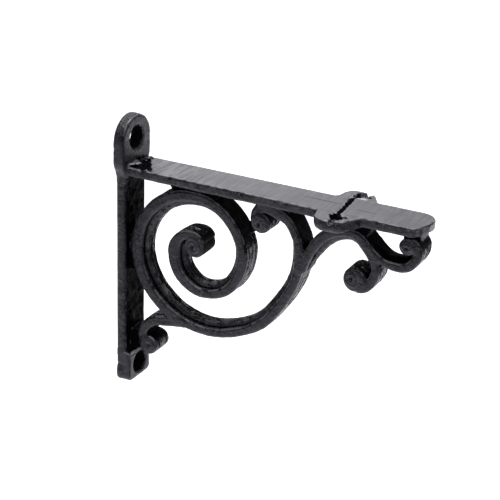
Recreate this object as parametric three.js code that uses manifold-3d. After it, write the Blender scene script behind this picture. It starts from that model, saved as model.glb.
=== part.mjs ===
// Cast scroll bracket for a shelf. Millimetres, +Z up.
// X runs along the arm away from the wall, the wall face is X = 0,
// Z = 0 is the flat top of the arm, and Y = 0 is the middle of the casting.
import * as THREE from 'three';
import { mergeVertices } from 'three/addons/utils/BufferGeometryUtils.js';
import Module from 'manifold-3d';

// Arm, a little wider beyond the lobes, where it also lies off the middle, as cast
const ARM_LENGTH = 175.9;
const ARM_THICKNESS = 5.2;
const ARM_WIDTH = 21.8;
const ARM_WIDTH_AT_LOBES = 23;
const ARM_EDGE = 0.6;
const TIP_WIDTH = 23.8;
const TIP_SHIFT = 1.2;

// The arm's end is not square: its point lies between a near and a far corner
const POINT_Y = 5.4;
const POINT_ROUND = 2.6;
const NEAR_CORNER_BACK = 5;
const NEAR_CORNER_ROUND = 3;
const FAR_CORNER_BACK = 4.6;
const FAR_CORNER_ROUND = 5;

// Lobes on both sides of the arm; the lean and the tail are how far their sides slope along the arm
const LOBE_LENGTH = 28.6;
const LOBE_FROM_TIP = 29.9;
const LOBE_REACH = 23.6;
const LOBE_THICKNESS = 6.6;
const LOBE_LEAN = 3;
const LOBE_LEAN_ROUND = 7;
const LOBE_TAIL = 8.8;
const LOBE_TAIL_ROUND = 5;

// Groove across the arm between the pits in the two lobes
const GROOVE_FROM_TIP = 45.3;
const GROOVE_WIDTH = 1.8;
const GROOVE_DEPTH = 1.2;
const PIT_Y = 17;
const PIT_LENGTH = 6;
const PIT_WIDTH = 3.4;
const PIT_DEPTH = 2.2;

// Wall plate, from the arm down to the foot
const PLATE_DROP = 128.6;
const PLATE_WIDTH = 21.6;
const PLATE_THICKNESS = 5.5;
const PLATE_EDGE = 1.6;

// Lug above the arm
const TOP_LUG_THICKNESS = 6.3;
const TOP_LUG_RADIUS = 14.3;
const TOP_LUG_CENTRE = 12;
const SHOULDER_Z = 3;
const NECK_Z = -8;

// Lug at the foot of the plate
const FOOT_THICKNESS = 8.6;
const FOOT_WIDTH = 21.8;
const FOOT_HEIGHT = 17.6;
const FOOT_CORNER = 3.6;
const LUG_EDGE = 0.8;

// Screw holes, countersunk from the front
const SINK_RADIUS = 6.9;
const BORE_RADIUS = 3.2;
const SINK_DEPTH = 3.7;
const SINK_LIP = 0.3;
const TOP_HOLE_Z = 13.8;
const FOOT_HOLE_RISE = 9;
const HOLE_SIDES = 32;

// How deep one form runs into its neighbour, and how far a cut starts outside the surface
const OVERLAP = 2;
const CUT_CLEAR = 1;

// Scroll bars: a band with cut corners, and a narrower rib on its hollow side
const BAND_HALF = 2.6;
const RIB_HEIGHT = 3.4;
const SCROLL_HALF = 7;
const SCROLL_EDGE = 0.8;
const RIB_HALF = 3.3;
const RIB_EDGE = 0.7;
const RIB_LEAST = 0.05;
const WEB_HALF = 6;
const STEP = 3.6;
const BALL_RADIUS = 5.8;
const BALL_EDGE = 1;
const BALL_SIDES = 24;
const EYE_HEIGHT = 0.8;
const EYE_RADIUS = 2.2;

// Fineness of curves, and how close corners are before they are one
const CURVE_SEGMENTS = 20;
const WELD = 1e-4;

const footBottom = -PLATE_DROP;
const footTop = footBottom + FOOT_HEIGHT;
const grooveX = ARM_LENGTH - GROOVE_FROM_TIP;
const inPlate = PLATE_THICKNESS / 2;
const inArm = -ARM_THICKNESS / 2;

// Places on the scroll, in percent of the arm's length and of the plate's drop
const along = (percent) => ARM_LENGTH * percent / 100;
const down = (percent) => -PLATE_DROP * percent / 100;

// Each bar is a chain of points: along, down, heading in degrees,
// then its half thickness and its rib as shares of BAND_HALF and RIB_HEIGHT.
// Big scroll, from the ball under the arm, round the ring and in to the eye.
const RING = [
  [46.5, 12.2, 92, 1.1, 0],
  [49.5, 6.1, -4, 1.1, 0.1],
  [54.9, 8.1, -16, 1.1, 0.4],
  [58.8, 12.7, -60, 0.95, 0.65],
  [61, 20.2, -85, 1, 0.9],
  [59.7, 36.5, -112, 0.95, 0.95],
  [52.5, 53.3, -126, 1.05, 0.95],
  [42.6, 63.5, -157, 1, 0.95],
  [30.5, 67.4, -180, 0.95, 0.95],
  [13.1, 58.4, -223, 1.25, 1],
  [5.9, 33.7, -274, 1.25, 1.05],
  [12.8, 14.9, -318, 1.25, 1.05],
  [26.9, 8.2, -363, 1.05, 1.05],
  [37.2, 14.5, -406, 1.1, 1],
  [42.5, 28, -444, 1.1, 1],
  [39.2, 43.8, -485, 1.05, 0.95],
  [29.6, 50.2, -539, 1, 0.95],
  [21.8, 45.4, -588, 1.2, 0.9],
  [18.9, 34.1, -630, 1.3, 0.9],
  [25.2, 25.1, -719, 0.85, 0.3],
  [28.5, 28.1, -800, 0.75, 0],
];
// Arch under the lobes, down to the hanging ball
const ARCH = [
  [61.8, 29.3, 77, 1.15, 0.1],
  [64.3, 21.1, 60, 1, 0.6],
  [68.1, 13.5, 44, 1.1, 0.9],
  [76.1, 8.9, 1, 0.9, 0.95],
  [81.7, 12.4, -52, 1.1, 0.9],
  [85.2, 21.4, -81, 0.85, 0.75],
  [83.3, 29.1, -130, 1.05, 0.3],
  [79.9, 30.9, -188, 1.15, 0],
];
// Branch out to the ball under the arm's tip
const TIP = [
  [83, 12.7, -50, 0.6, 0],
  [86.9, 17.3, -32, 0.75, 0.3],
  [91.7, 18.7, -1, 0.9, 0.7],
  [96.1, 16.4, 51, 0.9, 0.65],
  [97.8, 10.1, 96, 0.9, 0.25],
  [95.7, 6.8, 150, 0.85, 0],
];
// Curl from the ring down on to the plate
const CURL = [
  [23, 66.6, 180, 1, 0],
  [16.6, 67.6, 189, 1.1, 0.2],
  [10.3, 70.6, 224, 1.15, 0.45],
  [8, 77.3, 274, 0.95, 0.2],
  [10.2, 81.5, 338, 0.85, 0],
];

// Balls in the eyes of the scrolls: along, down, radius as a share of BALL_RADIUS
const BALLS = [
  [48.3, 12.9, 0.97],
  [26.2, 30.3, 1.02],
  [79.1, 28, 1.12],
  [94.5, 9.3, 0.78],
  [10.2, 80.9, 0.98],
];

// Webs that fill the narrow gaps where a bar meets the plate, the arm or its neighbour
const WEBS = [
  [
    [inPlate, down(28)],
    [along(5.7), down(31)],
    [along(5.5), down(39)],
    [along(6.2), down(47)],
    [inPlate, down(47.8)],
  ],
  [[along(15.4), inArm], [along(36.7), inArm], [along(32.4), down(8)], [along(18.8), down(8.9)]],
  [[along(45), inArm], [along(59.6), inArm], [along(56), down(7.5)], [along(48), down(7.5)]],
  [[along(44), down(13.7)], [along(47), down(14.3)], [along(46.8), down(17)], [along(44.5), down(19.4)]],
  [[along(68.6), inArm], [along(84.8), inArm], [along(81.5), down(9.3)], [along(71.4), down(9.8)]],
  [[along(91.4), inArm], [along(98.4), inArm], [along(98), down(7.5)], [along(93.4), down(7.5)]],
  [
    [inPlate, down(76.2)],
    [along(7.4), down(75.4)],
    [along(8.2), down(81.2)],
    [along(9.1), down(83.2)],
    [inPlate, down(85.5)],
  ],
];

const BLACK_PAINT = 0x1b1b1e;

const rad = (degrees) => degrees * Math.PI / 180;

// Walks along a chain of points in curves that follow the headings
function walk(chain) {
  const samples = [];
  for (let i = 0; i + 1 < chain.length; i += 1) {
    const [along0, down0, h0, band0, rib0] = chain[i];
    const [along1, down1, h1, band1, rib1] = chain[i + 1];
    const x0 = along(along0);
    const z0 = down(down0);
    const x1 = along(along1);
    const z1 = down(down1);
    const chord = Math.hypot(x1 - x0, z1 - z0);
    const turn = rad(Math.abs(h1 - h0));
    const reach = chord / (3 * Math.cos(turn / 4) ** 2);
    const curve = new THREE.CubicBezierCurve(
      new THREE.Vector2(x0, z0),
      new THREE.Vector2(x0 + reach * Math.cos(rad(h0)), z0 + reach * Math.sin(rad(h0))),
      new THREE.Vector2(x1 - reach * Math.cos(rad(h1)), z1 - reach * Math.sin(rad(h1))),
      new THREE.Vector2(x1, z1),
    );
    const count = Math.max(3, Math.ceil(curve.getLength() / STEP));
    const first = i === 0 ? 0 : 1;
    for (let k = first; k <= count; k += 1) {
      const s = k / count;
      const at = curve.getPoint(s);
      const way = curve.getTangent(s);
      samples.push({
        x: at.x,
        z: at.y,
        way,
        half: BAND_HALF * (band0 + (band1 - band0) * s),
        rib: RIB_HEIGHT * (rib0 + (rib1 - rib0) * s),
      });
    }
  }
  return samples;
}

// Section of a bar as (distance towards the hollow side, Y)
function section(half, rib) {
  const out = half + rib;
  const edge = SCROLL_EDGE;
  return [
    [-half, edge - SCROLL_HALF],
    [edge - half, -SCROLL_HALF],
    [half - edge, -SCROLL_HALF],
    [half, edge - SCROLL_HALF],
    [half, -RIB_HALF],
    [out, RIB_EDGE - RIB_HALF],
    [out, RIB_HALF - RIB_EDGE],
    [half, RIB_HALF],
    [half, SCROLL_HALF - edge],
    [half - edge, SCROLL_HALF],
    [edge - half, SCROLL_HALF],
    [-half, SCROLL_HALF - edge],
  ];
}

// Closed solid swept along a chain; side is +1 when the hollow side is on the right of the walk
function bar(chain, side) {
  const samples = walk(chain);
  const position = [];
  const index = [];
  const size = section(BAND_HALF, RIB_HEIGHT).length;
  for (const sample of samples) {
    const nx = sample.way.y * side;
    const nz = -sample.way.x * side;
    for (const [u, y] of section(sample.half, Math.max(sample.rib, RIB_LEAST))) {
      position.push(sample.x + nx * u, y, sample.z + nz * u);
    }
  }
  const quad = (a, b, c, d) => {
    if (side > 0) {
      index.push(a, c, b, a, d, c);
    } else {
      index.push(a, b, c, a, c, d);
    }
  };
  for (let i = 0; i + 1 < samples.length; i += 1) {
    for (let k = 0; k < size; k += 1) {
      const next = (k + 1) % size;
      const low = i * size;
      const high = low + size;
      quad(low + k, high + k, high + next, low + next);
    }
  }
  const last = (samples.length - 1) * size;
  const flat = section(BAND_HALF, RIB_HEIGHT).map(([u, y]) => new THREE.Vector2(u, y));
  for (const [a, b, c] of THREE.ShapeUtils.triangulateShape(flat, [])) {
    if (side > 0) {
      index.push(a, c, b);
      index.push(last + a, last + b, last + c);
    } else {
      index.push(a, b, c);
      index.push(last + a, last + c, last + b);
    }
  }
  const geometry = new THREE.BufferGeometry();
  geometry.setAttribute('position', new THREE.Float32BufferAttribute(position, 3));
  geometry.setIndex(index);
  return geometry;
}

// Prism of a flat shape, from 0 up to the given height, with its edges cut by the given amount
function prism(shape, height, edge) {
  return new THREE.ExtrudeGeometry(shape, {
    depth: height - 2 * edge,
    bevelEnabled: edge > 0,
    bevelThickness: edge,
    bevelSize: edge,
    bevelOffset: -edge,
    bevelSegments: 1,
    curveSegments: CURVE_SEGMENTS,
  }).translate(0, 0, edge);
}

// Turns a prism drawn in (Y, Z) so that it grows along +X
function outFromWall(geometry) {
  const turn = new THREE.Matrix4().makeBasis(
    new THREE.Vector3(0, 1, 0),
    new THREE.Vector3(0, 0, 1),
    new THREE.Vector3(1, 0, 0),
  );
  return geometry.applyMatrix4(turn);
}

// Turns a prism drawn in (X, Z) so that it is centred on Y = 0
function acrossMiddle(geometry, height) {
  return geometry.rotateX(Math.PI / 2).translate(0, height / 2, 0);
}

// Closed outline through corners given as x, y and how far the rounding reaches along both sides
function outline(corners) {
  const shape = new THREE.Shape();
  corners.forEach(([x, y, round], i) => {
    const here = new THREE.Vector2(x, y);
    const before = new THREE.Vector2().fromArray(corners.at(i - 1));
    const after = new THREE.Vector2().fromArray(corners[(i + 1) % corners.length]);
    const start = here.clone().lerp(before, round / here.distanceTo(before));
    const end = here.clone().lerp(after, round / here.distanceTo(after));
    if (i === 0) {
      shape.moveTo(start.x, start.y);
    } else {
      shape.lineTo(start.x, start.y);
    }
    if (round > 0) {
      shape.quadraticCurveTo(x, y, end.x, end.y);
    }
  });
  shape.closePath();
  return shape;
}

// Top of one lobe, from inside the arm; side is -1 or +1 in Y
function lobeShape(side) {
  const inner = side * (ARM_WIDTH / 2 - OVERLAP);
  const reach = side * LOBE_REACH;
  const end = ARM_LENGTH - LOBE_FROM_TIP;
  const start = end - LOBE_LENGTH;
  return outline([
    [start, inner, 0],
    [start + LOBE_LEAN, reach, LOBE_LEAN_ROUND],
    [end - LOBE_TAIL, reach, LOBE_TAIL_ROUND],
    [end, inner, 0],
  ]);
}

function armShape() {
  const near = TIP_SHIFT - TIP_WIDTH / 2;
  const far = TIP_SHIFT + TIP_WIDTH / 2;
  const lobeEnd = ARM_LENGTH - LOBE_FROM_TIP;
  const lobeStart = lobeEnd - LOBE_LENGTH;
  return outline([
    [0, -ARM_WIDTH / 2, 0],
    [lobeStart, -ARM_WIDTH_AT_LOBES / 2, 0],
    [lobeEnd, near, 0],
    [ARM_LENGTH - NEAR_CORNER_BACK, near, NEAR_CORNER_ROUND],
    [ARM_LENGTH, POINT_Y, POINT_ROUND],
    [ARM_LENGTH - FAR_CORNER_BACK, far, FAR_CORNER_ROUND],
    [lobeEnd, far, 0],
    [lobeStart, ARM_WIDTH_AT_LOBES / 2, 0],
    [0, ARM_WIDTH / 2, 0],
  ]);
}

function plateShape() {
  const half = PLATE_WIDTH / 2;
  return outline([
    [-half, footTop - OVERLAP, 0],
    [half, footTop - OVERLAP, 0],
    [half, 0, 0],
    [-half, 0, 0],
  ]);
}

function topLugShape() {
  const half = PLATE_WIDTH / 2;
  const bend = (NECK_Z + SHOULDER_Z) / 2;
  const radius = TOP_LUG_RADIUS;
  const shape = new THREE.Shape();
  shape.moveTo(-half, NECK_Z - OVERLAP);
  shape.lineTo(half, NECK_Z - OVERLAP);
  shape.lineTo(half, NECK_Z);
  shape.bezierCurveTo(half, bend, radius, bend, radius, SHOULDER_Z);
  shape.lineTo(radius, TOP_LUG_CENTRE);
  shape.absarc(0, TOP_LUG_CENTRE, radius, 0, Math.PI, false);
  shape.lineTo(-radius, SHOULDER_Z);
  shape.bezierCurveTo(-radius, bend, -half, bend, -half, NECK_Z);
  shape.closePath();
  return shape;
}

function footShape() {
  const half = FOOT_WIDTH / 2;
  return outline([
    [-half, footTop, 0],
    [-half, footBottom, FOOT_CORNER],
    [half, footBottom, FOOT_CORNER],
    [half, footTop, 0],
  ]);
}

// Disc with rounded rim and a low raised eye on both faces
function ball([alongArm, downPlate, share]) {
  const radius = BALL_RADIUS * share;
  const profile = [
    [0, -SCROLL_HALF - EYE_HEIGHT],
    [EYE_RADIUS, -SCROLL_HALF],
    [radius - BALL_EDGE, -SCROLL_HALF],
    [radius, BALL_EDGE - SCROLL_HALF],
    [radius, SCROLL_HALF - BALL_EDGE],
    [radius - BALL_EDGE, SCROLL_HALF],
    [EYE_RADIUS, SCROLL_HALF],
    [0, SCROLL_HALF + EYE_HEIGHT],
  ].map(([r, y]) => new THREE.Vector2(r, y));
  return new THREE.LatheGeometry(profile, BALL_SIDES).translate(along(alongArm), 0, down(downPlate));
}

function web(points) {
  const shape = new THREE.Shape(points.map(([x, z]) => new THREE.Vector2(x, z)));
  return acrossMiddle(prism(shape, 2 * WEB_HALF, 0), 2 * WEB_HALF);
}

// Countersunk hole through a lug of the given thickness, at the given height
function screwHole(thickness, z) {
  const profile = [
    [0, -CUT_CLEAR],
    [BORE_RADIUS, -CUT_CLEAR],
    [BORE_RADIUS, thickness - SINK_DEPTH],
    [SINK_RADIUS, thickness - SINK_LIP],
    [SINK_RADIUS, thickness + CUT_CLEAR],
    [0, thickness + CUT_CLEAR],
  ].map(([r, y]) => new THREE.Vector2(r, y));
  return new THREE.LatheGeometry(profile, HOLE_SIDES).rotateZ(-Math.PI / 2).translate(0, 0, z);
}

function pit(side) {
  const shape = new THREE.Shape();
  shape.absellipse(grooveX, side * PIT_Y, PIT_WIDTH / 2, PIT_LENGTH / 2, 0, 2 * Math.PI, false);
  return prism(shape, PIT_DEPTH + CUT_CLEAR, 0).translate(0, 0, -PIT_DEPTH);
}

function groove() {
  const half = GROOVE_WIDTH / 2;
  const shape = outline([
    [grooveX - half, -PIT_Y, 0],
    [grooveX + half, -PIT_Y, 0],
    [grooveX + half, PIT_Y, 0],
    [grooveX - half, PIT_Y, 0],
  ]);
  return prism(shape, GROOVE_DEPTH + CUT_CLEAR, 0).translate(0, 0, -GROOVE_DEPTH);
}

const wasm = await Module();
wasm.setup();

function solid(geometry) {
  const bare = geometry.clone();
  bare.deleteAttribute('normal');
  bare.deleteAttribute('uv');
  const merged = mergeVertices(bare, WELD);
  return new wasm.Manifold(new wasm.Mesh({
    numProp: 3,
    vertProperties: new Float32Array(merged.attributes.position.array),
    triVerts: new Uint32Array(merged.index.array),
  }));
}

const pieces = [
  prism(armShape(), ARM_THICKNESS, ARM_EDGE).translate(0, 0, -ARM_THICKNESS),
  prism(lobeShape(-1), LOBE_THICKNESS, ARM_EDGE).translate(0, 0, -LOBE_THICKNESS),
  prism(lobeShape(1), LOBE_THICKNESS, ARM_EDGE).translate(0, 0, -LOBE_THICKNESS),
  outFromWall(prism(plateShape(), PLATE_THICKNESS, PLATE_EDGE)),
  outFromWall(prism(topLugShape(), TOP_LUG_THICKNESS, LUG_EDGE)),
  outFromWall(prism(footShape(), FOOT_THICKNESS, LUG_EDGE)),
  bar(RING, 1),
  bar(ARCH, 1),
  bar(TIP, -1),
  bar(CURL, -1),
  ...BALLS.map(ball),
  ...WEBS.map(web),
];
const cuts = [
  screwHole(TOP_LUG_THICKNESS, TOP_HOLE_Z),
  screwHole(FOOT_THICKNESS, footBottom + FOOT_HOLE_RISE),
  pit(-1),
  pit(1),
  groove(),
];

let casting = solid(pieces[0]);
for (const piece of pieces.slice(1)) {
  casting = casting.add(solid(piece));
}
for (const cut of cuts) {
  casting = casting.subtract(solid(cut));
}

const result = casting.getMesh();
const geometry = new THREE.BufferGeometry();
geometry.setAttribute('position', new THREE.Float32BufferAttribute(result.vertProperties, 3));
geometry.setIndex(Array.from(result.triVerts));
geometry.computeVertexNormals();

const bracket = new THREE.Mesh(
  geometry,
  new THREE.MeshStandardMaterial({ color: BLACK_PAINT, roughness: 0.35, metalness: 0 }),
);
bracket.name = 'bracket';

const part = new THREE.Group();
part.name = 'shelf_bracket';
part.add(bracket);

export default part;
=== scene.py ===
import math

import bpy
import numpy as np
from mathutils import Matrix, Vector


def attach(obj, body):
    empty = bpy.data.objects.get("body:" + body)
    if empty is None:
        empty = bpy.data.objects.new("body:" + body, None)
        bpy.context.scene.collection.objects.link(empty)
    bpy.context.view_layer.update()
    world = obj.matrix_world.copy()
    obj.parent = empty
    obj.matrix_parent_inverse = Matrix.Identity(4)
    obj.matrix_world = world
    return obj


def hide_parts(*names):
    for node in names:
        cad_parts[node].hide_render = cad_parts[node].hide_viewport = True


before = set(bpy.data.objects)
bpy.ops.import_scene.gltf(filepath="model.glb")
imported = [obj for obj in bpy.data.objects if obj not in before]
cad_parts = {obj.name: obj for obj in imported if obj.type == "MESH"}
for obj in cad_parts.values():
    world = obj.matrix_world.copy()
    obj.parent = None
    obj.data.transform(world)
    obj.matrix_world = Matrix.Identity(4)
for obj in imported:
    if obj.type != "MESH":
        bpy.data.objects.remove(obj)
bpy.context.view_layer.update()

# Sizes are in millimetres, as in the solids: X along the arm, Y across it, Z = 0 on the arm's top.
# Blender and the materials count in metres.
MM = 0.001

# Arm, a little wider from the lobes on, with a tip that is not square
ARM_LENGTH = 175.9
ARM_THICK = 5.2
ARM_START = 0.3
ARM_HALF = 10.9
ARM_HALF_AT_LOBES = 11.5
WIDER_FROM = 117.4
WIDER_TO = 146
TIP_NEAR = -10.7
TIP_FAR = 13.1
POINT_Y = 5.4
POINT_ROUND = 2.6
NEAR_CORNER_BACK = 5
NEAR_CORNER_ROUND = 3
FAR_CORNER_BACK = 4.6
FAR_CORNER_ROUND = 5

# Lobes on both sides of the arm
LOBE_THICK = 6.6
LOBE_REACH = 23.6
LOBE_ROOT = 8.9
LOBE_FROM = 118.6
LOBE_TO = 143.4
LOBE_LEAN = 2.8
LOBE_LEAN_ROUND = 6
LOBE_TAIL = 8
LOBE_TAIL_ROUND = 5

# Wall plate with its two lugs
PLATE_DROP = 128.6
PLATE_HALF = 10.8
PLATE_THICK = 5.5
TOP_THICK = 6.3
TOP_RADIUS = 14.3
TOP_CENTRE = 12.0
SHOULDER_Z = 3
NECK_Z = -8
FOOT_THICK = 8.6
FOOT_HALF = 10.9
FOOT_TOP = -111.0
FOOT_CORNER = 3.6
LEDGE_SLOPE = 0.35
LEDGE_RISE = 2.4
OVERLAP = 2

# Countersunk screw holes
SINK_RADIUS = 6.9
BORE_RADIUS = 3.2
SINK_DEPTH = 3.7
SINK_LIP = 0.3
TOP_HOLE_Z = 13.8
FOOT_HOLE_Z = -119.6

# Scroll
BAND_HALF = 2.6
RIB_HEIGHT = 3.4
BALL_RADIUS = 5.8
SCROLL_HALF = 7.0
RIB_HALF = 3.3
WEB_HALF = 6.0
IN_PLATE = PLATE_THICK / 2
IN_ARM = -ARM_THICK / 2

# Grinding of the arm's top: where it starts on the middle line, and its slant across the arm
GRIND_START = 15.2
GRIND_SLANT = 0.645

# Grid that the casting's form is worked out on, and the fineness of the finished mesh
CELL = 0.5
LOW = np.array([-2.0, -25.5, -131.0])
HIGH = np.array([178.5, 25.5, 29.0])
FAR_OUTSIDE = 6.0
TRIANGLES = 190000

# Bars of the scroll, as in the solids: along and down in percent, heading in degrees,
# half thickness and rib as shares of BAND_HALF and RIB_HEIGHT
RING = [
    (46.5, 12.2, 92, 1.1, 0), (49.5, 6.1, -4, 1.1, 0.1), (54.9, 8.1, -16, 1.1, 0.4),
    (58.8, 12.7, -60, 0.95, 0.65), (61, 20.2, -85, 1, 0.9), (59.7, 36.5, -112, 0.95, 0.95),
    (52.5, 53.3, -126, 1.05, 0.95), (42.6, 63.5, -157, 1, 0.95), (30.5, 67.4, -180, 0.95, 0.95),
    (13.1, 58.4, -223, 1.25, 1), (5.9, 33.7, -274, 1.25, 1.05), (12.8, 14.9, -318, 1.25, 1.05),
    (26.9, 8.2, -363, 1.05, 1.05), (37.2, 14.5, -406, 1.1, 1), (42.5, 28, -444, 1.1, 1),
    (39.2, 43.8, -485, 1.05, 0.95), (29.6, 50.2, -539, 1, 0.95), (21.8, 45.4, -588, 1.2, 0.9),
    (18.9, 34.1, -630, 1.3, 0.9), (25.2, 25.1, -719, 0.85, 0.3), (28.5, 28.1, -800, 0.75, 0),
]
ARCH = [
    (61.8, 29.3, 77, 1.15, 0.1), (64.3, 21.1, 60, 1, 0.6), (68.1, 13.5, 44, 1.1, 0.9),
    (76.1, 8.9, 1, 0.9, 0.95), (81.7, 12.4, -52, 1.1, 0.9), (85.2, 21.4, -81, 0.85, 0.75),
    (83.3, 29.1, -130, 1.05, 0.3), (79.9, 30.9, -188, 1.15, 0),
]
TIP = [
    (83, 12.7, -50, 0.6, 0), (86.9, 17.3, -32, 0.75, 0.3), (91.7, 18.7, -1, 0.9, 0.7),
    (96.1, 16.4, 51, 0.9, 0.65), (97.8, 10.1, 96, 0.9, 0.25), (95.7, 6.8, 150, 0.85, 0),
]
CURL = [
    (23, 66.6, 180, 1, 0), (16.6, 67.6, 189, 1.1, 0.2), (10.3, 70.6, 224, 1.15, 0.45),
    (8, 77.3, 274, 0.95, 0.2), (10.2, 81.5, 338, 0.85, 0),
]

# Balls in the eyes of the scrolls: along, down, share of BALL_RADIUS, place of the pit (X, Z),
# angle at which the spiral groove starts, the way that it turns, and its depth
BALLS = [
    (48.3, 12.9, 0.97, 83.9, -17.4, 100, 1, 0.3),
    (26.2, 30.3, 1.02, 45.4, -38.7, 60, -1, 0.62),
    (79.1, 28, 1.12, 137.4, -35.6, 0, -1, 0.36),
    (94.5, 9.3, 0.78, 165.8, -12.8, 40, 1, 0.3),
    (10.2, 80.9, 0.98, 18.2, -103.8, 130, 1, 0.26),
]
SPIRAL_LAPS = 2
SPIRAL_START = 0.9
SPIRAL_PITCH = 0.42
SPIRAL_WIDTH = 0.5
PIT_DEPTH = 1.7
PIT_WIDTH = 0.95
CROWN = 0.9

# Groove across the arm's top, the pits at its ends and their notches: from and to (X, Y), radius
GROOVES = [
    ((130.4, -11), (129.6, -3), 1.2),
    ((129.6, -3), (128.8, 3.5), 1.05),
    ((128.8, 3.5), (127.8, 12), 1.3),
    ((129.9, -14.6), (131.8, -17.2), 3.0),
    ((131.6, -15.2), (135.6, -14.4), 1.4),
    ((131.6, -18), (131.4, -25.4), 1.6),
    ((128.8, 16.4), (129.8, 20.4), 2.6),
    ((130.2, 18.8), (134.6, 17.4), 1.4),
    ((131.4, 19.6), (133.8, 25.4), 1.8),
]

# Lumps of unground casting where the arm runs into the upper lug
LUMPS = 70
LUMP_SEED = 7
LUMP_Y = (-9.5, 6.5)
LUMP_FROM_X = 6.6
LUMP_SIZE = (0.7, 1.3)
LUMP_SWING = (50, 95)
LUMP_STRETCH = 1.9
TALL_LUMPS_TO_X = 11
LUMP_BLEND = 0.4

# Nicks in the outline of the foot and of the upper lug: X, Y, Z, size
NICKS = [(0.2, -11.8, -118.4, 1.4), (0.2, 11.8, -118.4, 1.4), (0.0, -14.9, 9.6, 0.9)]

# Bulge on each side of the foot: its middle, and how far it reaches in X and Z
BULGE_AT = (1.8, 10.2, -123.6)
BULGE_REACH = (2.2, 3.6)

# Light grey spots: bare metal on the tip and on the foot's ledge, and a painted highlight beside the far
# pit: place and reach
BARE_METAL_AND_HIGHLIGHT_SPOTS = [
    ((175.2, 4.2, -2.8), (2.2, 4.2, 2.1)),
    ((8.4, -4.5, -111.7), (1.6, 5.8, 0.7)),
    ((132.5, 13.5, 0), (3, 1.2, 0.6)),
]
# Two long scratches on the arm's top: place and reach
LONG_SCRATCHES = [
    ((116.5, 1.2, 0), (12.5, 0.7, 0.8)),
    ((140.8, -1.8, 0), (6, 0.6, 0.8)),
]


def along(percent):
    return ARM_LENGTH * percent / 100


def down(percent):
    return -PLATE_DROP * percent / 100


def grinding_starts(y):
    """How far from the wall the grinding of the arm's top starts, on a slant across the arm."""
    return GRIND_START - GRIND_SLANT * y


# Webs in the narrow gaps where a bar meets the plate, the arm or its neighbour
WEBS = [
    [
        (IN_PLATE, down(28)),
        (along(5.7), down(31)),
        (along(5.5), down(39)),
        (along(6.2), down(47)),
        (IN_PLATE, down(47.8)),
    ],
    [(along(15.4), IN_ARM), (along(36.7), IN_ARM), (along(32.4), down(8)), (along(18.8), down(8.9))],
    [(along(45), IN_ARM), (along(59.6), IN_ARM), (along(56), down(7.5)), (along(48), down(7.5))],
    [(along(44), down(13.7)), (along(47), down(14.3)), (along(46.8), down(17)), (along(44.5), down(19.4))],
    [(along(68.6), IN_ARM), (along(84.8), IN_ARM), (along(81.5), down(9.3)), (along(71.4), down(9.8))],
    [(along(91.4), IN_ARM), (along(98.4), IN_ARM), (along(98), down(7.5)), (along(93.4), down(7.5))],
    [
        (IN_PLATE, down(76.2)),
        (along(7.4), down(75.4)),
        (along(8.2), down(81.2)),
        (along(9.1), down(83.2)),
        (IN_PLATE, down(85.5)),
    ],
]

# The field holds the distance to the casting's surface, less than 0 inside it
axes = [np.arange(lo, hi + CELL / 2, CELL, dtype=np.float32) for lo, hi in zip(LOW, HIGH)]
field = np.full([len(axis) for axis in axes], FAR_OUTSIDE, np.float32)


def window(low, high, pad=3.0):
    """Slices of the field that cover a box."""
    cut = []
    for axis, lo, hi in zip(axes, low, high):
        first = max(0, int((lo - pad - axis[0]) / CELL))
        last = min(len(axis), int((hi + pad - axis[0]) / CELL) + 2)
        cut.append(slice(first, last))
    return tuple(cut)


def coordinates(cut):
    """X, Y and Z of the grid points in a window, ready to be combined."""
    x, y, z = (axis[part] for axis, part in zip(axes, cut))
    return x[:, None, None], y[None, :, None], z[None, None, :]


def soft_min(a, b, blend):
    h = np.clip(blend - np.abs(a - b), 0, None) / blend
    return np.minimum(a, b) - h * h * blend / 4


def soft_max(a, b, blend):
    return -soft_min(-a, -b, blend)


def join(cut, shape, blend):
    field[cut] = soft_min(field[cut], shape.astype(np.float32), blend)


def carve(cut, shape, blend):
    field[cut] = soft_max(field[cut], -shape.astype(np.float32), blend)


def rounded(past_x, past_y, radius):
    """Distance to a rectangle's edge from how far a point is past each side, with rounded corners."""
    past_x = past_x + radius
    past_y = past_y + radius
    outside = np.hypot(np.maximum(past_x, 0), np.maximum(past_y, 0))
    return outside + np.minimum(np.maximum(past_x, past_y), 0) - radius


def share_along(px, py, a, b):
    """How far along the line from a to b the nearest point to each place lies, from 0 to 1."""
    ex = b[0] - a[0]
    ey = b[1] - a[1]
    return np.clip(((px - a[0]) * ex + (py - a[1]) * ey) / (ex * ex + ey * ey), 0, 1)


def polygon(px, py, points):
    """Signed distance in a plane to a closed outline."""
    best = np.full(np.broadcast(px, py).shape, 1e9, np.float32)
    inside = np.zeros(best.shape, bool)
    for a, b in zip(points, points[1:] + points[:1]):
        (ax, ay), (bx, by) = a, b
        ex = bx - ax
        ey = by - ay
        t = share_along(px, py, a, b)
        best = np.minimum(best, (px - ax - t * ex) ** 2 + (py - ay - t * ey) ** 2)
        if ey != 0:
            crosses = (ay > py) != (by > py)
            inside ^= crosses & (px < ax + (py - ay) * ex / ey)
    return np.where(inside, -np.sqrt(best), np.sqrt(best)).astype(np.float32)


def bezier(*points, count=14):
    """Points of a Bezier curve of any degree, without its last one."""
    t = np.linspace(0, 1, count, endpoint=False)
    rows = [np.outer(np.ones(count), np.array(p, float)) for p in points]
    while len(rows) > 1:
        rows = [a + (b - a) * t[:, None] for a, b in zip(rows, rows[1:])]
    return [tuple(p) for p in rows[0]]


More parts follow.
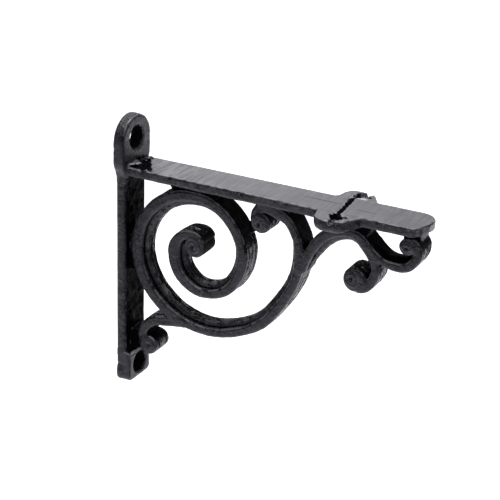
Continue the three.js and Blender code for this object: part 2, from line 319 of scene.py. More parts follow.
def outline(corners):
    """Closed outline through corners given as x, y and how far the rounding reaches on both sides."""
    points = []
    for i, (x, y, reach) in enumerate(corners):
        here = np.array((x, y), float)
        before = np.array(corners[i - 1][:2], float)
        after = np.array(corners[(i + 1) % len(corners)][:2], float)
        start = here + (before - here) * reach / np.linalg.norm(before - here)
        end = here + (after - here) * reach / np.linalg.norm(after - here)
        if reach > 0:
            points += bezier(start, here, end, count=10)
        points.append(tuple(end))
    return points


def walk(chain):
    """Fine samples along a bar: place, direction, half thickness and rib."""
    samples = []
    for (s0, d0, h0, w0, t0), (s1, d1, h1, w1, t1) in zip(chain, chain[1:]):
        p0 = np.array((along(s0), down(d0)))
        p3 = np.array((along(s1), down(d1)))
        a0 = math.radians(h0)
        a1 = math.radians(h1)
        chord = math.hypot(*(p3 - p0))
        reach = chord / (3 * math.cos((a1 - a0) / 4) ** 2)
        p1 = p0 + reach * np.array((math.cos(a0), math.sin(a0)))
        p2 = p3 - reach * np.array((math.cos(a1), math.sin(a1)))
        s = np.linspace(0, 1, max(6, int(chord / CELL)), endpoint=False)[:, None]
        r = 1 - s
        place = r ** 3 * p0 + 3 * s * r ** 2 * p1 + 3 * s * s * r * p2 + s ** 3 * p3
        way = 3 * r ** 2 * (p1 - p0) + 6 * s * r * (p2 - p1) + 3 * s * s * (p3 - p2)
        way /= np.linalg.norm(way, axis=1, keepdims=True)
        half = BAND_HALF * (w0 + (w1 - w0) * s)
        rib = RIB_HEIGHT * (t0 + (t1 - t0) * s)
        samples.append(np.hstack([place, way, half, rib]))
    return np.vstack(samples)


def nearest(line, gx, gz):
    """Which sample of a bar lies nearest to each place in the plane."""
    best = np.full(gx.shape, 1e9, np.float32)
    near = np.zeros(gx.shape, np.int32)
    for i, sample in enumerate(line):
        distance = (gx - sample[0]) ** 2 + (gz - sample[1]) ** 2
        closer = distance < best
        best[closer] = distance[closer]
        near[closer] = i
    return near


def bar(chain, side, blend):
    """A bar of the scroll: a band with soft corners and a narrower, crowned rib on its hollow side."""
    line = walk(chain).astype(np.float32)
    reach = line[:, 4].max() + line[:, 5].max()
    low = (line[:, 0].min() - reach, -SCROLL_HALF, line[:, 1].min() - reach)
    high = (line[:, 0].max() + reach, SCROLL_HALF, line[:, 1].max() + reach)
    cut = window(low, high)
    gx, gz = np.meshgrid(axes[0][cut[0]], axes[2][cut[2]], indexing="ij")
    near = nearest(line, gx, gz)
    p = line[near]
    dx = gx - p[..., 0]
    dz = gz - p[..., 1]
    to_side = (dx * p[..., 3] - dz * p[..., 2]) * side
    is_end = (near == 0) | (near == len(line) - 1)
    past_end = np.where(is_end, np.abs(dx * p[..., 2] + dz * p[..., 3]), 0)
    u, past, half, height = (v[:, None, :] for v in (to_side, past_end, p[..., 4], p[..., 5]))
    y = np.abs(axes[1][cut[1]])[None, :, None]
    side_gap = np.hypot(np.maximum(np.abs(u) - half, 0), past) + np.minimum(np.abs(u) - half, 0)
    band = rounded(side_gap, y - SCROLL_HALF, radius=0.9)
    middle = (half + height) / 2
    rib = rounded(np.abs(u - middle) - middle, y - RIB_HALF, radius=2.2)
    rib = np.where(height > 0.2, np.maximum(rib, past - 0.5), 9).astype(np.float32)
    join(cut, soft_min(band, rib, 0.7), blend)


def ball(along_arm, drop, share, pit_x, pit_z, start, turn, depth):
    """A disc with a crowned face, a spiral groove winding in on it and a pit at its eye."""
    x = along(along_arm)
    z = down(drop)
    radius = BALL_RADIUS * share
    cut = window((x - radius, -SCROLL_HALF, z - radius), (x + radius, SCROLL_HALF, z + radius))
    gx, gy, gz = coordinates(cut)
    from_pit = np.hypot(gx - pit_x, gz - pit_z)
    from_middle = np.hypot(gx - x, gz - z)
    angle = (np.degrees(np.arctan2(gz - pit_z, gx - pit_x)) - start) * turn % 360
    relief = CROWN * np.clip(1 - (from_middle / radius) ** 2, 0, 1)
    for lap in range(SPIRAL_LAPS):
        line = radius * (SPIRAL_START - SPIRAL_PITCH * (angle / 360 + lap))
        cut_here = np.exp(-((from_pit - line) / SPIRAL_WIDTH) ** 2) * np.clip(from_pit / 1.6, 0, 1)
        relief = relief - depth * cut_here
    relief = relief - PIT_DEPTH * np.exp(-(from_pit / PIT_WIDTH) ** 2)
    join(cut, rounded(from_middle - radius, np.abs(gy) - SCROLL_HALF - relief, radius=1.0), 0.8)


def web(points):
    xs, zs = zip(*points)
    cut = window((min(xs), -WEB_HALF, min(zs)), (max(xs), WEB_HALF, max(zs)))
    gx, gy, gz = coordinates(cut)
    flat = polygon(gx[:, 0], gz[:, 0], points)[:, None, :]
    join(cut, rounded(flat, np.abs(gy) - WEB_HALF, radius=1.2), 1.6)


def slab(points, thick, bottom_round, blend):
    """A plate under Z = 0 with a crisp top edge and a rounder bottom one."""
    xs, ys = zip(*points)
    cut = window((min(xs), min(ys), -thick), (max(xs), max(ys), 0))
    gx, gy, gz = coordinates(cut)
    flat = polygon(gx[:, :, 0], gy[:, :, 0], points)[:, :, None]
    shape = soft_max(flat, -thick - gz, bottom_round)
    join(cut, soft_max(shape, np.broadcast_to(gz, shape.shape), 0.5), blend)


def upright(points, thick, front_round, blend, sloping_top=None):
    """A plate on the wall, drawn in (Y, Z), with soft front edges."""
    ys, zs = zip(*points)
    cut = window((0, min(ys), min(zs)), (thick, max(ys), max(zs)))
    gx, gy, gz = coordinates(cut)
    flat = polygon(gy[0], gz[0], points)[None]
    if sloping_top is not None:
        flat = np.maximum(flat, gz + LEDGE_SLOPE * gx - sloping_top)
    full = np.broadcast_shapes(flat.shape, gx.shape)
    shape = soft_max(np.broadcast_to(flat, full), gx - thick, front_round)
    join(cut, soft_max(shape, np.broadcast_to(-gx, full), 0.8), blend)


def screw_hole(thick, z):
    """A bore through a lug, with a cone for the screw's head."""
    cut = window((-2, -SINK_RADIUS, z - SINK_RADIUS), (thick, SINK_RADIUS, z + SINK_RADIUS))
    gx, gy, gz = coordinates(cut)
    run = np.clip((gx - (thick - SINK_DEPTH)) / (SINK_DEPTH - SINK_LIP), 0, 1)
    wall = np.hypot(gy, gz - z) - (BORE_RADIUS + (SINK_RADIUS - BORE_RADIUS) * run)
    carve(cut, wall * 0.75, 0.8)


def groove(a, b, radius):
    """A rough cut in the arm's top along a line, with a wavering edge."""
    low = (min(a[0], b[0]) - radius, min(a[1], b[1]) - radius, -3)
    high = (max(a[0], b[0]) + radius, max(a[1], b[1]) + radius, 1)
    cut = window(low, high)
    gx, gy, gz = coordinates(cut)
    t = share_along(gx, gy, a, b)
    flat = np.hypot(gx - a[0] - t * (b[0] - a[0]), gy - a[1] - t * (b[1] - a[1]))
    flat = flat + 0.2 * np.sin(2.3 * gx + 1.7 * gy) + 0.15 * np.sin(4.3 * gy - 2.9 * gx)
    carve(cut, np.hypot(flat, np.minimum(gz + 0.4, 0) * 0.9) - radius, 0.5)


def plate_and_lugs():
    foot_bottom = -PLATE_DROP
    neck_bottom = NECK_Z - OVERLAP
    bend = (NECK_Z + SHOULDER_Z) / 2
    plate = [
        (-PLATE_HALF, FOOT_TOP - OVERLAP),
        (PLATE_HALF, FOOT_TOP - OVERLAP),
        (PLATE_HALF, 0),
        (-PLATE_HALF, 0),
    ]
    upright(plate, PLATE_THICK, front_round=2.6, blend=0.01)

    lug = [(-PLATE_HALF, neck_bottom), (PLATE_HALF, neck_bottom)]
    lug += bezier((PLATE_HALF, NECK_Z), (PLATE_HALF, bend), (TOP_RADIUS, bend), (TOP_RADIUS, SHOULDER_Z))
    for angle in np.linspace(0, math.pi, 40):
        lug.append((TOP_RADIUS * math.cos(angle), TOP_CENTRE + TOP_RADIUS * math.sin(angle)))
    lug += bezier((-TOP_RADIUS, SHOULDER_Z), (-TOP_RADIUS, bend), (-PLATE_HALF, bend), (-PLATE_HALF, NECK_Z))
    upright(lug, TOP_THICK, front_round=1.5, blend=0.3)

    foot = outline([
        (-FOOT_HALF, FOOT_TOP + OVERLAP, 0),
        (-FOOT_HALF, foot_bottom, FOOT_CORNER),
        (FOOT_HALF, foot_bottom, FOOT_CORNER),
        (FOOT_HALF, FOOT_TOP + OVERLAP, 0),
    ])
    upright(foot, FOOT_THICK, front_round=1.4, blend=0.3, sloping_top=FOOT_TOP + LEDGE_RISE)


def arm_and_lobes():
    arm = outline([
        (ARM_START, -ARM_HALF, 0),
        (WIDER_FROM, -ARM_HALF_AT_LOBES, 0),
        (WIDER_TO, TIP_NEAR, 0),
        (ARM_LENGTH - NEAR_CORNER_BACK, TIP_NEAR, NEAR_CORNER_ROUND),
        (ARM_LENGTH, POINT_Y, POINT_ROUND),
        (ARM_LENGTH - FAR_CORNER_BACK, TIP_FAR, FAR_CORNER_ROUND),
        (WIDER_TO, TIP_FAR, 0),
        (WIDER_FROM, ARM_HALF_AT_LOBES, 0),
        (ARM_START, ARM_HALF, 0),
    ])
    slab(arm, ARM_THICK, bottom_round=1.4, blend=1.6)
    for side in (-1, 1):
        lobe = outline([
            (LOBE_FROM, side * LOBE_ROOT, 0),
            (LOBE_FROM + LOBE_LEAN, side * LOBE_REACH, LOBE_LEAN_ROUND),
            (LOBE_TO - LOBE_TAIL, side * LOBE_REACH, LOBE_TAIL_ROUND),
            (LOBE_TO, side * LOBE_ROOT, 0),
        ])
        slab(lobe, LOBE_THICK, bottom_round=3.2, blend=0.6)


def scroll_work():
    for points in WEBS:
        web(points)
    bar(RING, side=1, blend=1.4)
    bar(ARCH, side=1, blend=1.4)
    bar(TIP, side=-1, blend=1.2)
    bar(CURL, side=-1, blend=1.2)
    for spec in BALLS:
        ball(*spec)


def lumps_at_root():
    """Lumps and hollows of unground casting, long across the arm, lower away from the wall."""
    rng = np.random.default_rng(LUMP_SEED)
    for _ in range(LUMPS):
        y = rng.uniform(*LUMP_Y)
        x = rng.uniform(LUMP_FROM_X, grinding_starts(y) - 0.4)
        size = rng.uniform(*LUMP_SIZE)
        swing = math.radians(rng.uniform(*LUMP_SWING))
        is_tall = x < TALL_LUMPS_TO_X
        z = 0.4 if is_tall else -0.1
        radius = size if is_tall else size * 0.7
        cut = window((x - 5, y - 5, -3), (x + 5, y + 5, 4), pad=1.0)
        gx, gy, gz = coordinates(cut)
        length = ((gx - x) * math.cos(swing) + (gy - y) * math.sin(swing)) / LUMP_STRETCH
        across = (gy - y) * math.cos(swing) - (gx - x) * math.sin(swing)
        lump = np.sqrt(length ** 2 + across ** 2 + (gz - z) ** 2) - radius
        if rng.random() < 0.5:
            join(cut, lump, LUMP_BLEND)
        else:
            carve(cut, lump, LUMP_BLEND)


def nicks_and_bulges():
    """Flaws in the outline of the foot and of the upper lug."""
    x, y, z = BULGE_AT
    reach_x, reach_z = BULGE_REACH
    for side in (-1, 1):
        cut = window((0, side * 11 - 2, -128), (4, side * 11 + 2, -118))
        gx, gy, gz = coordinates(cut)
        bulge = np.sqrt(((gx - x) / reach_x) ** 2 + (gy - side * y) ** 2 + ((gz - z) / reach_z) ** 2) - 1.0
        join(cut, bulge, 0.8)
    for x, y, z, size in NICKS:
        cut = window((x - 2, y - 2, z - 2), (x + 2, y + 2, z + 2))
        gx, gy, gz = coordinates(cut)
        nick = np.sqrt((gx - x) ** 2 / 9 + (gy - y) ** 2 + (gz - z) ** 2) - size
        carve(cut, nick, 0.6)


def surface(values, origin, cell):
    """Surface nets: one vertex in each cell that the surface crosses, one quad on each crossed edge."""
    inside = values < 0
    shape = np.array(values.shape) - 1
    total = np.zeros(shape, np.int8)
    for i, j, k in np.ndindex(2, 2, 2):
        total += inside[i:i + shape[0], j:j + shape[1], k:k + shape[2]]
    cells = np.argwhere((total > 0) & (total < 8))
    index = np.full(shape, -1, np.int32)
    index[tuple(cells.T)] = np.arange(len(cells))
    place = np.zeros((len(cells), 3))
    count = np.zeros(len(cells))
    for axis in range(3):
        others = [a for a in range(3) if a != axis]
        for i, j in np.ndindex(2, 2):
            start = cells.copy()
            start[:, others[0]] += i
            start[:, others[1]] += j
            end = start.copy()
            end[:, axis] += 1
            a = values[tuple(start.T)]
            b = values[tuple(end.T)]
            hit = (a < 0) != (b < 0)
            t = np.where(hit, a / np.where(hit, a - b, 1), 0)
            spot = (start - cells).astype(float)
            spot[:, axis] += t
            place[hit] += spot[hit]
            count[hit] += 1
    points = (cells + place / count[:, None]) * cell + origin
    quads = []
    for axis in range(3):
        b = (axis + 1) % 3
        c = (axis + 2) % 3
        lo = [slice(None)] * 3
        hi = [slice(None)] * 3
        lo[axis] = slice(0, -1)
        hi[axis] = slice(1, None)
        crossed = np.argwhere(inside[tuple(lo)] != inside[tuple(hi)])
        above_low = (crossed[:, b] > 0) & (crossed[:, c] > 0)
        below_high = (crossed[:, b] < shape[b]) & (crossed[:, c] < shape[c])
        crossed = crossed[above_low & below_high]
        around = []
        for db, dc in ((-1, -1), (0, -1), (0, 0), (-1, 0)):
            at = crossed.copy()
            at[:, b] += db
            at[:, c] += dc
            around.append(index[tuple(at.T)])
        quad = np.stack(around, 1)
        solid_first = inside[tuple(crossed.T)]
        quad[~solid_first] = quad[~solid_first][:, ::-1]
        quads.append(quad)
    return points, np.vstack(quads)


def value_noise(points, wave, seed):
    """Smooth noise in -1..1 at points, from a seeded lattice."""
    side = 64
    lattice = np.random.default_rng(seed).uniform(-1, 1, (side, side, side)).astype(np.float32)
    q = points / wave + 16
    base = np.floor(q).astype(int)
    f = q - base
    f = f * f * (3 - 2 * f)
    total = np.zeros(len(points))
    for corner in np.ndindex(2, 2, 2):
        weights = np.abs(1 - np.array(corner) - f)
        total += weights[:, 0] * weights[:, 1] * weights[:, 2] * lattice[tuple(((base + corner) % side).T)]
    return total


def outward(points):
    """Direction out of the casting at each point, from the field."""
    cell_at = np.clip(((points - LOW) / CELL).astype(int), 1, np.array(field.shape) - 3)
    direction = np.empty_like(points)
    for axis in range(3):
        step = np.zeros(3, int)
        step[axis] = 1
        ahead = field[tuple((cell_at + step).T)]
        behind = field[tuple((cell_at - step).T)]
        direction[:, axis] = ahead - behind
    return direction / np.maximum(np.linalg.norm(direction, axis=1, keepdims=True), 1e-6)


def ramp(value, span):
    """0 where a value is negative, rising to 1 over a span."""
    return np.clip(value / span, 0, 1)


def casting_skin(points, direction):
    """Points moved by slow waves and grains, more in the recess and on the lobes' sides."""
    x, y, z = points.T
    slow = value_noise(points, wave=7.0, seed=1)
    middle = value_noise(points, wave=2.8, seed=2)
    fine = value_noise(points, wave=1.5, seed=3)
    not_ground = ramp(grinding_starts(y) - x, 1.5)
    ground_top = ramp(z + 0.6, 0.4) * (direction[:, 2] > 0.6) * (1 - not_ground)
    wall_side = ramp(0.8 - x, 0.6)
    recess = ramp(9.5 - np.abs(y), 1.5) * ramp(-8 - z, 3) * ramp(z + 110, 2)
    recess = recess * (direction[:, 0] > 0.5) * (x < 7)
    lobe_side = ramp(np.abs(y) - 13, 3) * ramp(-0.8 - z, 0.8)
    skin = 0.15 * slow + 0.09 * middle + 0.05 * fine
    skin = skin * (1 - 0.85 * ground_top) * (1 - 0.7 * wall_side)
    skin += recess * (0.34 * middle + 0.34 * fine - 0.2) + lobe_side * (0.3 * slow + 0.22 * middle)
    return points + direction * skin[:, None]


def mesh_object(name, points, quads):
    """A Blender object from points in millimetres and quads."""
    mesh = bpy.data.meshes.new(name)
    mesh.vertices.add(len(points))
    mesh.vertices.foreach_set("co", (points / 1000).astype(np.float32).ravel())
    mesh.loops.add(quads.size)
    mesh.loops.foreach_set("vertex_index", quads.astype(np.int32).ravel())
    mesh.polygons.add(len(quads))
    mesh.polygons.foreach_set("loop_start", np.arange(0, quads.size, 4, dtype=np.int32))
    mesh.polygons.foreach_set("loop_total", np.full(len(quads), 4, np.int32))
    mesh.update(calc_edges=True)
    mesh.validate()
    obj = bpy.data.objects.new(name, mesh)
    bpy.context.scene.collection.objects.link(obj)
    return obj


def thin_out(obj, triangles):
    """Replace an object's mesh by one of fewer triangles, shaded smooth."""
    thin = obj.modifiers.new("thin", "DECIMATE")
    thin.ratio = min(1.0, triangles / (2 * len(obj.data.polygons)))
    bpy.context.view_layer.update()
    graph = bpy.context.evaluated_depsgraph_get()
    mesh = bpy.data.meshes.new_from_object(obj.evaluated_get(graph))
    obj.modifiers.clear()
    obj.data = mesh
    mesh.polygons.foreach_set("use_smooth", np.ones(len(mesh.polygons), bool))
    return mesh


def sample(places):
    """The field at any places, between its grid points."""
    q = (places - LOW) / CELL
    base = np.clip(np.floor(q).astype(int), 0, np.array(field.shape) - 2)
    f = q - base
    total = np.zeros(len(places))
    for corner in np.ndindex(2, 2, 2):
        weight = np.prod(np.abs(1 - np.array(corner) - f), axis=1)
        total += weight * field[tuple((base + corner).T)]
    return total


def mark_edges(mesh):
    """Store at each vertex how sharply the casting bends outwards, for the wear and the painted highlights
    along its edges.
    """
    corners = np.empty(3 * len(mesh.vertices))
    mesh.vertices.foreach_get("co", corners)
    corners = corners.reshape(-1, 3) * 1000
    span = 0.6
    bend = -6 * sample(corners)
    for shift in np.vstack([np.eye(3), -np.eye(3)]) * span:
        bend += sample(corners + shift)
    edge = ramp(bend / span ** 2 - 0.35, 0.6)
    mesh.attributes.new("edge", "FLOAT", "POINT").data.foreach_set("value", edge.astype(np.float32))
    mesh.update()


class Nodes:
    """Short way to build the nodes of a material or of the world."""

    def __init__(self, owner, space):
        owner.use_nodes = True
        self.tree = owner.node_tree
        self.place = self.add("ShaderNodeTexCoord").outputs[space]

    def add(self, kind, **values):
        node = self.tree.nodes.new(kind)
        for key, value in values.items():
            setattr(node, key, value)
        return node

    def wire(self, a, b):
        self.tree.links.new(a, b)

    def noise(self, scale, detail=4, stretch=(1, 1, 1), turn=(0, 0, 0), roughness=0.55):
        mapping = self.add("ShaderNodeMapping")
        mapping.inputs["Scale"].default_value = stretch
        mapping.inputs["Rotation"].default_value = turn
        self.wire(self.place, mapping.inputs["Vector"])
        node = self.add("ShaderNodeTexNoise")
        node.inputs["Scale"].default_value = scale
        node.inputs["Detail"].default_value = detail
        node.inputs["Roughness"].default_value = roughness
        self.wire(mapping.outputs["Vector"], node.inputs["Vector"])
        return node.outputs["Fac"]

    def near(self, place, reach):
        """1 inside an ellipsoid given in millimetres, falling to 0 just outside it, with a ragged rim."""
        offset = self.add("ShaderNodeVectorMath", operation="SUBTRACT")
        self.wire(self.place, offset.inputs[0])
        offset.inputs[1].default_value = [value * MM for value in place]
        scaled = self.add("ShaderNodeVectorMath", operation="DIVIDE")
        self.wire(offset.outputs[0], scaled.inputs[0])
        scaled.inputs[1].default_value = [value * MM for value in reach]
        length = self.add("ShaderNodeVectorMath", operation="LENGTH")
        self.wire(scaled.outputs[0], length.inputs[0])
        ragged = self.plus(length.outputs["Value"], self.times(self.noise(900, 3), 0.9))
        return self.remap(ragged, 1.3, 1.5, 1.0, 0.0)

    def split(self, vector):
        node = self.add("ShaderNodeSeparateXYZ")
        self.wire(vector, node.inputs["Vector"])
        return node.outputs

    def math(self, operation, a, b):
        node = self.add("ShaderNodeMath", operation=operation)
        for socket, value in zip(node.inputs, (a, b)):
            if isinstance(value, (int, float)):
                socket.default_value = value
            else:
                self.wire(value, socket)
        return node.outputs[0]

    def times(self, a, b):
        return self.math("MULTIPLY", a, b)

    def plus(self, a, b):
        return self.math("ADD", a, b)

    def remap(self, value, low, high, out_low=0.0, out_high=1.0):
        node = self.add("ShaderNodeMapRange")
        self.wire(value, node.inputs["Value"])
        names = ("From Min", "From Max", "To Min", "To Max")
        for name, number in zip(names, (low, high, out_low, out_high)):
            node.inputs[name].default_value = number
        return node.outputs["Result"]

    def mix(self, factor, a, b):
        node = self.add("ShaderNodeMix", data_type="RGBA")
        self.wire(factor, node.inputs["Factor"])
        for name, value in (("A", a), ("B", b)):
            socket = [s for s in node.inputs if s.name == name and s.type == "RGBA"][0]
            if isinstance(value, tuple):
                socket.default_value = (*value, 1)
            else:
                self.wire(value, socket)
        return [s for s in node.outputs if s.type == "RGBA"][0]

    def bump(self, height, strength, distance, base=None):
        node = self.add("ShaderNodeBump")
        node.inputs["Strength"].default_value = strength
        node.inputs["Distance"].default_value = distance
        self.wire(height, node.inputs["Height"])
        if base is not None:
            self.wire(base, node.inputs["Normal"])
        return node.outputs["Normal"]


def grey(level, blue=0.0):
    """A neutral colour with a little more blue."""
    return (level, level, level + blue)


def ground_mask(m, normal_z):
    """1 where the top is ground: facing up, level with the arm's top, past the start of the grinding."""
    x, y, z = m.split(m.place)
    slant = m.plus(m.plus(x, m.times(y, GRIND_SLANT)), m.times(m.noise(160, 3), 0.006))
    past_start = m.remap(slant, 0.0178, 0.0186)
    level = m.times(m.remap(z, -0.9 * MM, -0.4 * MM), m.remap(z, 0.6 * MM, 1.2 * MM, 1.0, 0.0))
    return m.times(m.times(m.remap(normal_z, 0.72, 0.9), level), past_start)


def any_near(m, spots):
    """1 at any of some places."""
    first, *rest = [m.near(place, reach) for place, reach in spots]
    for spot in rest:
        first = m.math("MAXIMUM", first, spot)
    return first


def painted_iron():
    """Black paint on cast iron, worn to grey metal on the ground top of the arm, with grey edge lines that
    are partly wear and partly painted highlight.
    """
    material = bpy.data.materials.new("black_painted_iron")
    m = Nodes(material, "Object")
    shader = m.tree.nodes["Principled BSDF"]
    shader.inputs["Specular IOR Level"].default_value = 0.5
    x, _, z = m.split(m.place)
    normal_x, _, normal_z = m.split(m.add("ShaderNodeNewGeometry").outputs["Normal"])
    ground = ground_mask(m, normal_z)

    # Marks of the grinding, on a skew across the arm, and the grain of the paint
    skew = math.radians(-9)
    strokes = m.noise(1100, 3, stretch=(1, 0.07, 0.2), turn=(0, 0, skew), roughness=0.7)
    bands = m.noise(320, 4, stretch=(1, 0.1, 0.3), turn=(0, 0, skew), roughness=0.75)
    broad = m.noise(90, 4, stretch=(0.5, 1, 0.3))
    cloud = m.noise(95, 5)
    grain = m.noise(1500, 4, roughness=0.65)
    pores = m.noise(420, 5, roughness=0.65)
    scores = m.noise(900, 3, stretch=(0.3, 1, 0.08), turn=(math.radians(-40), 0, 0), roughness=0.7)

    # Thin grey lines on the edges, partly wear and partly painted highlight; on the edges that face up they
    # are a painted highlight, lightest and smoothest
    bend = m.add("ShaderNodeAttribute", attribute_name="edge").outputs["Fac"]
    polished = m.times(m.remap(bend, 0.0, 0.4), m.remap(normal_z, -0.2, 0.1))
    edge = m.times(bend, m.remap(m.noise(250, 4), 0.38, 0.55))
    upper_edge_highlight = m.times(m.remap(edge, 0.2, 0.7), m.remap(normal_z, 0.1, 0.5))

    # Black paint in clouds, with lighter and darker pores
    paint = m.mix(m.remap(cloud, 0.42, 0.58), grey(0.001, 0.001), grey(0.024, 0.006))
    paint = m.mix(m.remap(pores, 0.55, 0.64), paint, grey(0.065, 0.01))
    paint = m.mix(m.remap(pores, 0.34, 0.42, 1.0, 0.0), paint, grey(0.001, 0.0005))
    paint = m.mix(m.times(edge, 0.6), paint, grey(0.09, 0.01))
    # Painted highlight: edges that face up are lightened
    paint = m.mix(m.times(upper_edge_highlight, 0.5), paint, grey(0.3, 0.02))

    # Ground top: grey strokes and bands, evener in the middle of the arm and darker towards the tip
    dressed = m.mix(m.remap(strokes, 0.42, 0.58), grey(0.055, 0.005), grey(0.19, 0.014))
    dressed = m.mix(m.remap(bands, 0.47, 0.54, 0.0, 0.7), dressed, grey(0.26, 0.015))
    middle = m.times(m.remap(x, 0.045, 0.065), m.remap(x, 0.152, 0.142))
    dressed = m.mix(m.times(middle, 0.6), dressed, grey(0.155, 0.01))
    dressed = m.mix(m.remap(broad, 0.4, 0.6, 0.4, 0.0), dressed, grey(0.12, 0.01))
    dressed = m.mix(m.remap(x, 0.06, 0.165, 0.05, 0.55), dressed, grey(0.06, 0.006))
    dressed = m.mix(any_near(m, LONG_SCRATCHES), dressed, grey(0.03, 0.003))
    # Painted highlight on the ground top's edges that face up
    dressed = m.mix(m.times(upper_edge_highlight, 0.3), dressed, grey(0.6, 0.02))
    shown = m.mix(ground, paint, dressed)
    # Light grey spots: bare metal, and beside the far pit a painted highlight
    shown = m.mix(any_near(m, BARE_METAL_AND_HIGHLIGHT_SPOTS), shown, grey(0.5, 0.02))
    m.wire(shown, shader.inputs["Base Color"])

    # Gloss: clouded on the paint, duller on the ground top
    unground = m.math("SUBTRACT", 1.0, ground)
    rough_paint = m.remap(cloud, 0.38, 0.62, 0.16, 0.38)
    rough_paint = m.times(rough_paint, m.remap(polished, 0.0, 1.0, 1.0, 0.5))
    rough_top = m.remap(strokes, 0.3, 0.7, 0.34, 0.5)
    rough = m.plus(m.times(rough_paint, unground), m.times(rough_top, ground))
    m.wire(rough, shader.inputs["Roughness"])

    # Relief: pores and grain in the paint, scores on the foot of the upper lug, fine scratches on the top
    lug_height = m.times(m.remap(z, 0.009, 0.003), m.remap(z, -0.002, 0.0))
    lug_front = m.times(m.remap(normal_x, 0.6, 0.8), lug_height)
    skin = m.plus(m.times(pores, 0.7), m.times(grain, 0.25))
    skin = m.plus(skin, m.times(m.times(scores, lug_front), 1.3))
    skin = m.times(skin, m.math("SUBTRACT", 1.0, m.times(ground, 0.9)))
    skin = m.times(skin, m.remap(polished, 0.0, 1.0, 1.0, 0.15))
    scratch = m.times(m.plus(strokes, bands), ground)
    skinned = m.bump(skin, 0.75, 1.1 * MM)
    m.wire(m.bump(scratch, 0.5, 0.3 * MM, skinned), shader.inputs["Normal"])
    return material


def painted_shade_iron():
    """Matt black, dull material: painted shade for the hollows, creases and faces under the arm."""
    material = bpy.data.materials.new("painted_shade_black_iron")
    m = Nodes(material, "Object")
    shader = m.tree.nodes["Principled BSDF"]
    shader.inputs["Specular IOR Level"].default_value = 0.03
    sand = m.noise(700, 5, roughness=0.7)
    patches = m.noise(160, 4)
    tone = m.mix(m.remap(patches, 0.4, 0.6), grey(0.0004, 0.0002), grey(0.0015, 0.0005))
    tone = m.mix(m.remap(sand, 0.62, 0.68), tone, grey(0.015, 0.004))
    m.wire(tone, shader.inputs["Base Color"])
    m.wire(m.remap(patches, 0.35, 0.65, 0.35, 0.6), shader.inputs["Roughness"])
    m.wire(m.bump(sand, 0.8, 1.2 * MM), shader.inputs["Normal"])
    return material


def painted_shade_places(mesh):
    """Which faces get the painted shade material: creases, hollows, screw holes and faces under the arm,
    with ragged and speckled bounds.
    """
    centres = np.empty(3 * len(mesh.polygons))
    normals = np.empty(3 * len(mesh.polygons))
    mesh.polygons.foreach_get("center", centres)
    mesh.polygons.foreach_get("normal", normals)
    places = centres.reshape(-1, 3) * 1000
    x, y, z = places.T
    nx, ny, nz = normals.reshape(-1, 3).T
    off_middle = np.abs(y)
    wander = value_noise(places, wave=2.5, seed=5)
    speckle = value_noise(places, wave=0.7, seed=6)
    streaks = value_noise(places / (5, 1, 5), wave=1.1, seed=8) + 0.3 * speckle

    below_arm = (z < -ARM_THICK) & (z > FOOT_TOP)
    scroll = (x > PLATE_THICK + 0.5) & below_arm
    inside_faces = scroll & (off_middle < SCROLL_HALF - 0.9)
    clear_of_arm = scroll & (z < -9)

    web_sides = scroll & (np.abs(ny) > 0.55) & (off_middle > 4.8) & (off_middle < SCROLL_HALF - 0.7)
    creases = clear_of_arm & (np.abs(ny) < 0.85)
    creases &= (off_middle > RIB_HALF - 0.3) & (off_middle < RIB_HALF + 1.3 + 0.7 * wander)
    rib_streaks = clear_of_arm & (np.abs(ny) < 0.6) & (off_middle < RIB_HALF - 1.2) & (streaks > 0.05)
    under_arm = inside_faces & (z > -33 + 5 * wander + 9 * speckle)
    under_arm &= nz > 0.12 + 0.15 * wander + 0.3 * speckle

    spiral_ball = np.hypot(x - 46, z + 39) < 8
    spiral_ball &= np.maximum(nz, nx) > 0.3 + 0.15 * wander + 0.25 * speckle
    foot_ball = np.hypot(x - 18, z + 104) < 7
    foot_ball &= nz > 0.5 + 0.2 * wander + 0.25 * speckle
    balls = (spiral_ball | foot_ball) & (off_middle < SCROLL_HALF - 0.9)

    from_hole = np.minimum(np.hypot(y, z - TOP_HOLE_Z), np.hypot(y, z - FOOT_HOLE_Z))
    hole_sides = (nx > -0.5) & (from_hole < SINK_RADIUS - 0.5 + 0.4 * speckle)
    plate_front = below_arm & (nx > 0.4) & (off_middle < 9.4) & (np.abs(x - PLATE_THICK) < 1.4)
    root = (x > TOP_THICK + 0.4) & (x < grinding_starts(y)) & (z > -2) & (z < 0.9) & (off_middle < 9.8)
    groove_floor = (x > 127) & (x < 133.5) & (off_middle < 21) & (nz > -0.1)
    groove_floor &= (z > -3) & (z < -0.45 + 0.15 * wander)

    # Each of these masks marks faces for painted shade
    painted_shade = web_sides | creases | rib_streaks | under_arm | balls
    return painted_shade | hole_sides | plate_front | root | groove_floor


def make_floor():
    """A white table with a glow of its own, which neither shows in the object's surfaces nor lights them."""
    material = bpy.data.materials.new("pale_floor")
    pale = Nodes(material, "Object")
    shader = pale.tree.nodes["Principled BSDF"]
    shader.inputs["Roughness"].default_value = 0.9
    shader.inputs["Specular IOR Level"].default_value = 0.1
    shader.inputs["Emission Color"].default_value = (1, 1, 1, 1)
    shader.inputs["Emission Strength"].default_value = 0.75
    tone = pale.mix(pale.remap(pale.noise(3, 2), 0.3, 0.7), grey(0.88), grey(0.9))
    pale.wire(tone, shader.inputs["Base Color"])
    reach = 14.0
    drop = -0.62
    mesh = bpy.data.meshes.new("floor")
    corners = [(x * reach, y * reach, drop) for x, y in ((-1, -1), (1, -1), (1, 1), (-1, 1))]
    mesh.from_pydata(corners, [], [(0, 1, 2, 3)])
    mesh.materials.append(material)
    floor = bpy.data.objects.new("floor", mesh)
    floor.visible_glossy = False
    floor.visible_diffuse = False
    bpy.context.scene.collection.objects.link(floor)
    return floor


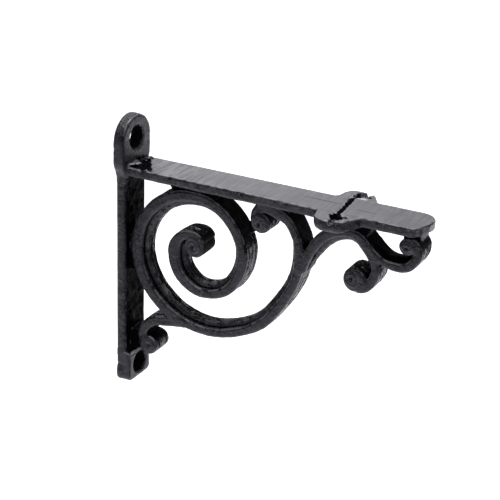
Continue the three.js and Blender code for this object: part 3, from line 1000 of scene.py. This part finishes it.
def light_room():
    """A dim room with a bright ceiling, white below, brightest behind the object and dark at its right."""
    world = bpy.data.worlds.new("room")
    bpy.context.scene.world = world
    sky = Nodes(world, "Generated")
    x, y, z = sky.split(sky.place)
    front = sky.remap(y, -0.7, 0.3, 1.0, 0.0)
    table = sky.mix(front, grey(1.25, 0.07), grey(1.15, 0.13))
    aside = sky.times(sky.remap(x, 0.5, 0.72), sky.remap(y, 0.25, 0.0))
    table = sky.mix(aside, table, grey(0.05, 0.01))
    ceiling = sky.mix(sky.remap(z, 0.5, 0.85), grey(0.13, 0.02), grey(0.9))
    level = sky.plus(z, sky.times(front, 0.2))
    backdrop = sky.tree.nodes["Background"]
    sky.wire(sky.mix(sky.remap(level, -0.33, -0.03), table, ceiling), backdrop.inputs["Color"])
    backdrop.inputs["Strength"].default_value = 1.0


def panel(name, place, size, power):
    """A rectangular light panel turned towards the bracket."""
    target = Vector((0.08, 0, -0.05))
    data = bpy.data.lights.new(name, "AREA")
    data.shape = "RECTANGLE"
    data.size, data.size_y = size
    data.energy = power
    light = bpy.data.objects.new(name, data)
    light.location = place
    light.rotation_euler = (target - Vector(place)).to_track_quat("-Z", "Y").to_euler()
    bpy.context.scene.collection.objects.link(light)


def make_camera():
    """A long lens from the near side, turned to the right, looking down and rolled by two degrees."""
    turn = math.radians(26.95)
    tilt = math.radians(23.01)
    roll = math.radians(1.97)
    distance = 0.79025
    aim = Vector((0.07614, 0, -0.03602))
    focal_pixels = 1500
    image_pixels = 500
    forward = Vector((-math.sin(turn) * math.cos(tilt), math.cos(turn) * math.cos(tilt), -math.sin(tilt)))
    level_right = Vector((math.cos(turn), math.sin(turn), 0))
    level_up = level_right.cross(forward)
    right = level_right * math.cos(roll) + level_up * math.sin(roll)
    up = level_up * math.cos(roll) - level_right * math.sin(roll)
    data = bpy.data.cameras.new("camera")
    data.sensor_width = 36
    data.lens = data.sensor_width * focal_pixels / image_pixels
    data.clip_start = 0.01
    data.clip_end = 60
    camera = bpy.data.objects.new("camera", data)
    facing = Matrix((right, up, -forward)).transposed().to_4x4()
    camera.matrix_world = Matrix.Translation(aim - forward * distance) @ facing
    bpy.context.scene.collection.objects.link(camera)
    bpy.context.scene.camera = camera


# Form of the casting
plate_and_lugs()
arm_and_lobes()
scroll_work()
screw_hole(TOP_THICK, TOP_HOLE_Z)
screw_hole(FOOT_THICK, FOOT_HOLE_Z)
for start, end, radius in GROOVES:
    groove(start, end, radius)
lumps_at_root()
nicks_and_bulges()

# Mesh of the casting
points, quads = surface(field, LOW, CELL)
casting = mesh_object("scroll_casting", casting_skin(points, outward(points)), quads)
mesh = thin_out(casting, TRIANGLES)
mark_edges(mesh)
mesh.materials.clear()
mesh.materials.append(painted_iron())
# Second material: painted shade, set on faces in creases, hollows and under the arm
mesh.materials.append(painted_shade_iron())
mesh.polygons.foreach_set("material_index", painted_shade_places(mesh).astype(np.int32))
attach(casting, "root")
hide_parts("bracket")

# Studio
floor = make_floor()
light_room()
panel("overhead", (0.0, 0.1, 1.1), size=(0.9, 0.9), power=11.5)
panel("back_strip", (-0.62, 1.33, 0.58), size=(1.0, 0.1), power=2.0)
make_camera()
bpy.context.scene.view_settings.view_transform = "Standard"
bpy.context.scene.view_settings.look = "None"
